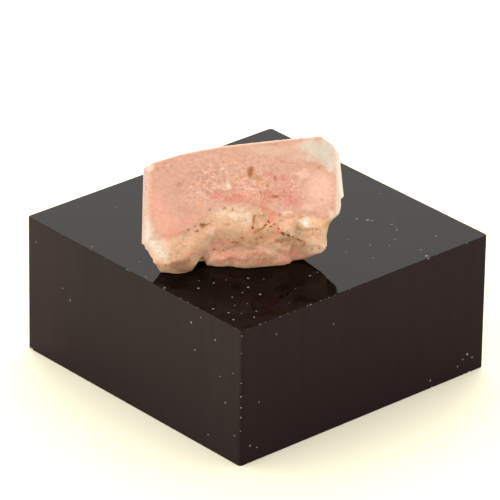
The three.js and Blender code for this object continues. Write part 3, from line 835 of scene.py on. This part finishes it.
# Chips in the block's edges: each one's place along the edge, in millimetres, and its radius.
RIGHT_EDGE_CHIPS = [
    (-16.0, 0.07), (-15.7, 0.09), (-15.2, 0.06), (-14.7, 0.06), (-14.1, 0.13), (-13.4, 0.09), (-12.8, 0.06),
    (-12.1, 0.07), (-11.5, 0.11), (-11.0, 0.07), (-10.5, 0.10), (-9.9, 0.06), (-9.6, 0.09), (-8.8, 0.06),
    (-7.9, 0.12), (-7.5, 0.14), (-6.8, 0.06), (-6.2, 0.10), (-5.6, 0.07), (-5.1, 0.10), (-4.3, 0.09),
    (-3.4, 0.06), (-2.3, 0.10), (-1.2, 0.06), (0.0, 0.08), (0.7, 0.06), (1.5, 0.08), (3.2, 0.06), (5.1, 0.06),
    (6.9, 0.07), (8.3, 0.17), (9.5, 0.09), (11.2, 0.07), (13.6, 0.12), (15.2, 0.08),
]
LEFT_EDGE_CHIPS = [
    (-11.0, 0.10), (-6.6, 0.09), (-4.1, 0.07), (-0.9, 0.13), (-0.5, 0.10), (2.2, 0.07), (4.7, 0.10),
    (7.3, 0.10), (8.4, 0.12), (9.8, 0.11), (10.9, 0.07), (12.2, 0.08), (14.0, 0.07), (15.6, 0.09),
]
UPRIGHT_EDGE_CHIPS = [(14.4, 0.10), (12.5, 0.09), (9.2, 0.10), (7.7, 0.12), (6.5, 0.13), (5.4, 0.12), (3.9, 0.09)]
UPRIGHT_EDGE_MM = BLOCK_HALF_MM - 0.09  # where the rounded upright edge stands out furthest
LOW_RIGHT_EDGE_CHIPS = [
    (-15.4, 0.14), (-14.6, 0.10), (-8.2, 0.12), (3.6, 0.10), (9.4, 0.16), (13.9, 0.14), (14.6, 0.20),
]
LOW_LEFT_EDGE_CHIPS = [(-16.0, 0.35), (13.0, 0.12), (14.6, 0.10)]
BLOCK_CHIPS = [
    *((BLOCK_HALF_MM, y, BLOCK_TOP_MM, radius) for y, radius in RIGHT_EDGE_CHIPS),
    *((x, -BLOCK_HALF_MM, BLOCK_TOP_MM, radius) for x, radius in LEFT_EDGE_CHIPS),
    *((UPRIGHT_EDGE_MM, -UPRIGHT_EDGE_MM, z, radius) for z, radius in UPRIGHT_EDGE_CHIPS),
    *((BLOCK_HALF_MM, y, 0.0, radius) for y, radius in LOW_RIGHT_EDGE_CHIPS),
    *((x, -BLOCK_HALF_MM, 0.0, radius) for x, radius in LOW_LEFT_EDGE_CHIPS),
]

# What the sides' colour is multiplied by: in the furrows and on the ridges of the saw marks, on the right side as
# a painted shade, and at the far left.
SAW_FURROWS = (0.95, 0.94, 0.93)
SAW_RIDGES = (1.05, 1.05, 1.05)
PAINTED_RIGHT_SHADE = (0.72, 0.6, 0.7)
FAR_LEFT = (1.3, 1.24, 1.28)
FAR_LEFT_MM = (-6.0, -16.0)

CHIP_DEPTH_MM = (0.022, 0.04)  # further inside the block's rounded outline than these, a surface is a chip
BLOCK_IOR = 1.115  # sets how strongly the polish mirrors
BLOCK_TINT = (1.0, 0.88, 0.8, 1.0)


def side_colour(shader, point, x, z, settings):
    """The sawn sides: faint upright saw marks, darker low down, a painted shade on the right side, and lighter at
    the far left.
    """
    side = shader.mix(shader.smooth(z, 0.0, BLOCK_TOP_MM), settings.side_low, settings.side)
    drawn_out = shader.vector("MULTIPLY", point, (1.0, 1.0, 0.1))
    saw = shader.noise(drawn_out, scale=0.9, detail=4.0, roughness=0.6)
    side = shader.multiply(side, shader.mix(shader.smooth(saw, 0.3, 0.7), SAW_FURROWS, SAW_RIDGES))
    # The right side is darkened in colour: a painted shade.
    right = shader.smooth(x, BLOCK_HALF_MM - 0.2, BLOCK_HALF_MM - 0.05)
    side = shader.multiply(side, shader.mix(right, WHITE, PAINTED_RIGHT_SHADE))
    return shader.multiply(side, shader.mix(shader.smooth(x, *FAR_LEFT_MM), WHITE, FAR_LEFT))


def chipped(shader, x, y, z, settings):
    """1 where the surface lies inside the block's rounded outline, which is where a chip is missing."""
    corner = BLOCK_HALF_MM - settings.corner / MM
    out_x = x.math("ABSOLUTE", x) - corner
    out_y = y.math("ABSOLUTE", y) - corner
    round_part = (out_x.most(0.0) ** 2 + out_y.most(0.0) ** 2) ** 0.5
    inset = settings.corner / MM - (round_part + out_x.most(out_y).least(0.0))
    inset = inset.least(BLOCK_TOP_MM - z).least(z)
    return shader.smooth(inset, *CHIP_DEPTH_MM)


def block_material(settings):
    """Black, polished on top and satin on its sawn sides, with pale chips and dust."""
    material = new_material("polished_black")
    shader = Shader(material)
    coordinates = shader.node("ShaderNodeTexCoord", output="Object")
    point = shader.vector("MULTIPLY", coordinates, (1 / MM, 1 / MM, 1 / MM))
    x, y, z = shader.parts(point)
    top = shader.smooth(z, BLOCK_TOP_MM - 0.02, BLOCK_TOP_MM - 0.005)
    body = shader.mix(top, side_colour(shader, point, x, z, settings), settings.top)
    chips = chipped(shader, x, y, z, settings)
    dust = shader.dots(point, BLOCK_DUST)
    body = shader.mix(chips * 0.8, body, settings.chips)
    body = shader.mix(dust * 0.8, body, settings.dust)
    roughness = top * (settings.polish - settings.satin) + settings.satin
    roughness = roughness.most((chips + dust).least(1.0) * 0.8)
    surface = shader.node(
        "ShaderNodeBsdfPrincipled", {},
        {"Base Color": body, "Roughness": roughness, "IOR": BLOCK_IOR, "Specular Tint": BLOCK_TINT},
    )
    shader.node("ShaderNodeOutputMaterial", {}, {"Surface": surface})
    return material


def bevel(obj, chosen, width, segments):
    """Rounds the edges that a mask chooses."""
    bpy.ops.object.mode_set(mode="EDIT")
    bpy.ops.mesh.select_all(action="DESELECT")
    bpy.ops.mesh.select_mode(type="EDGE")
    bpy.ops.object.mode_set(mode="OBJECT")
    obj.data.edges.foreach_set("select", chosen)
    bpy.ops.object.mode_set(mode="EDIT")
    bpy.ops.mesh.bevel(offset=width, segments=segments, affect="EDGES")
    bpy.ops.object.mode_set(mode="OBJECT")


def edge_heights(mesh):
    """The heights of both ends of each edge."""
    heights = values_of(mesh.vertices, "co", 3)[:, 2]
    ends = values_of(mesh.edges, "vertices", 2).astype(int)
    return heights[ends]


def chip_balls():
    """Small balls along the block's edges, as one object."""
    balls = []
    for x, y, z, radius in BLOCK_CHIPS:
        bpy.ops.object.select_all(action="DESELECT")
        bpy.ops.mesh.primitive_ico_sphere_add(
            subdivisions=1, radius=radius * MM, location=(x * MM, y * MM, z * MM), rotation=(x, y, z)
        )
        balls.append(bpy.context.object)
    select_only(*balls)
    bpy.ops.object.join()
    return bpy.context.object


class SPECIMEN_OT_display_block(bpy.types.Operator):
    """Makes the polished display block with its worn edges"""

    bl_idname = "specimen.display_block"
    bl_label = "Display block"

    def execute(self, context):
        settings = context.scene.specimen_block
        bpy.ops.object.select_all(action="DESELECT")
        size = BLOCK_HIGH - BLOCK_LOW
        bpy.ops.mesh.primitive_cube_add(size=1, location=(BLOCK_LOW + BLOCK_HIGH) / 2, scale=size)
        block = context.object
        block.name = block.data.name = "polished_block"
        bpy.ops.object.transform_apply(location=True, rotation=True, scale=True)
        heights = edge_heights(block.data)
        bevel(block, abs(heights[:, 0] - heights[:, 1]) > MM, settings.corner, 4)
        heights = edge_heights(block.data)
        bevel(block, abs(heights[:, 0] - heights[:, 1]) < MM, settings.edge, 2)
        balls = chip_balls()
        apply_modifier(block, "BOOLEAN", operation="DIFFERENCE", solver="EXACT", object=balls)
        bpy.data.objects.remove(balls)
        block.data.materials.append(block_material(settings))
        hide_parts("display_block")
        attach(block, "root")
        return {"FINISHED"}


# ---- Stage ----

# The camera's place: degrees round the specimen from the front, above the horizon and about its own axis, the
# point that it looks at and its distance from there.
CAMERA_AZIMUTH = 48.286
CAMERA_ELEVATION = 26.481
CAMERA_ROLL = 0.882
CAMERA_TARGET = Vector((-8.876, 7.011, 6.6)) * MM
CAMERA_DISTANCE = 531.2 * MM
SENSOR_WIDTH = 36.0
CLIP_START = 0.01
CLIP_END = 50.0
FLOOR_SIDE = 8.0
FLOOR_DROP_MM = 0.02  # below the block's underside, so that the two don't lie in one plane

BACKDROP_EDGE = (0.75, 0.97)  # cosines of the angles from the backdrop's middle between which it fades
LIGHT_COLOUR = (1.0, 0.985, 0.96, 1.0)


def direction(azimuth, elevation):
    """From the specimen towards a place round it, as the camera's angles give it."""
    azimuth, elevation = math.radians(azimuth), math.radians(elevation)
    flat = math.cos(elevation)
    return Vector((math.sin(azimuth) * flat, -math.cos(azimuth) * flat, math.sin(elevation)))


def make_camera(settings):
    """Places the camera at its angles and distance."""
    camera = bpy.data.cameras.new("camera")
    camera.lens = settings.lens
    camera.sensor_width = SENSOR_WIDTH
    camera.clip_start = CLIP_START
    camera.clip_end = CLIP_END
    obj = bpy.data.objects.new("camera", camera)
    bpy.context.scene.collection.objects.link(obj)
    back = direction(CAMERA_AZIMUTH, CAMERA_ELEVATION)
    turn = back.to_track_quat("Z", "Y").to_matrix() @ Matrix.Rotation(math.radians(CAMERA_ROLL), 3, "Z")
    obj.matrix_world = Matrix.Translation(CAMERA_TARGET + back * CAMERA_DISTANCE) @ turn.to_4x4()
    bpy.context.scene.camera = obj


def make_floor(settings):
    """Lays the plain pale floor."""
    bpy.ops.object.select_all(action="DESELECT")
    bpy.ops.mesh.primitive_plane_add(size=FLOOR_SIDE, location=(0, 0, -FLOOR_DROP_MM * MM))
    floor = bpy.context.object
    floor.name = "floor"
    material = new_material("pale_floor")
    shader = Shader(material)
    surface = shader.node(
        "ShaderNodeBsdfPrincipled", {},
        {"Base Color": (*settings.floor, 1.0), "Roughness": 0.9, "Specular IOR Level": 0.1},
    )
    shader.node("ShaderNodeOutputMaterial", {}, {"Surface": surface})
    floor.data.materials.append(material)


def make_light(settings):
    """Lights the specimen from all round, more from behind it and from the left."""
    world = bpy.data.worlds.new("studio")
    bpy.context.scene.world = world
    shader = Shader(world)
    ray = shader.node("ShaderNodeTexCoord", output="Generated")
    behind = direction(CAMERA_AZIMUTH + 180, CAMERA_ELEVATION)
    towards = shader.vector("DOT_PRODUCT", ray, behind, output="Value")
    bright = shader.smooth(towards, *BACKDROP_EDGE)
    leftward = shader.vector("DOT_PRODUCT", ray, direction(CAMERA_AZIMUTH - 90, 0), output="Value")
    around = leftward * (settings.slant * settings.surround) + settings.surround
    strength = around + bright * (settings.backdrop - settings.surround)
    background = shader.node("ShaderNodeBackground", {}, {"Color": LIGHT_COLOUR, "Strength": strength})
    shader.node("ShaderNodeOutputWorld", {}, {"Surface": background})


class SPECIMEN_OT_stage(bpy.types.Operator):
    """Makes the pale floor, the soft light and the camera"""

    bl_idname = "specimen.stage"
    bl_label = "Stage"

    def execute(self, context):
        settings = context.scene.specimen_stage
        make_camera(settings)
        make_floor(settings)
        make_light(settings)
        context.scene.view_settings.view_transform = "Standard"
        return {"FINISHED"}


# ---- Panel and add-on ----

STEPS = ("specimen.stage", "specimen.display_block", "specimen.fluorite")


class SPECIMEN_PT_panel(bpy.types.Panel):
    """Lists the specimen's settings and the operators that build it"""

    bl_idname = "SPECIMEN_PT_panel"
    bl_label = "Specimen"
    bl_space_type = "VIEW_3D"
    bl_region_type = "UI"
    bl_category = "Specimen"

    def draw(self, context):
        for step in STEPS:
            self.layout.operator(step)
        for group in SETTINGS:
            settings = getattr(context.scene, group)
            box = self.layout.box()
            for name in settings.__annotations__:
                box.prop(settings, name)


SETTINGS = {
    "specimen_stone": StoneSettings,
    "specimen_block": BlockSettings,
    "specimen_stage": StageSettings,
}
CLASSES = (
    *SETTINGS.values(),
    SPECIMEN_OT_fluorite,
    SPECIMEN_OT_display_block,
    SPECIMEN_OT_stage,
    SPECIMEN_PT_panel,
)


def register():
    for cls in CLASSES:
        bpy.utils.register_class(cls)
    for name, cls in SETTINGS.items():
        setattr(bpy.types.Scene, name, PointerProperty(type=cls))


def unregister():
    for name in SETTINGS:
        delattr(bpy.types.Scene, name)
    for cls in reversed(CLASSES):
        bpy.utils.unregister_class(cls)


def main():
    register()
    bpy.ops.specimen.stage()
    bpy.ops.specimen.display_block()
    bpy.ops.specimen.fluorite()


if __name__ == "__main__":
    main()
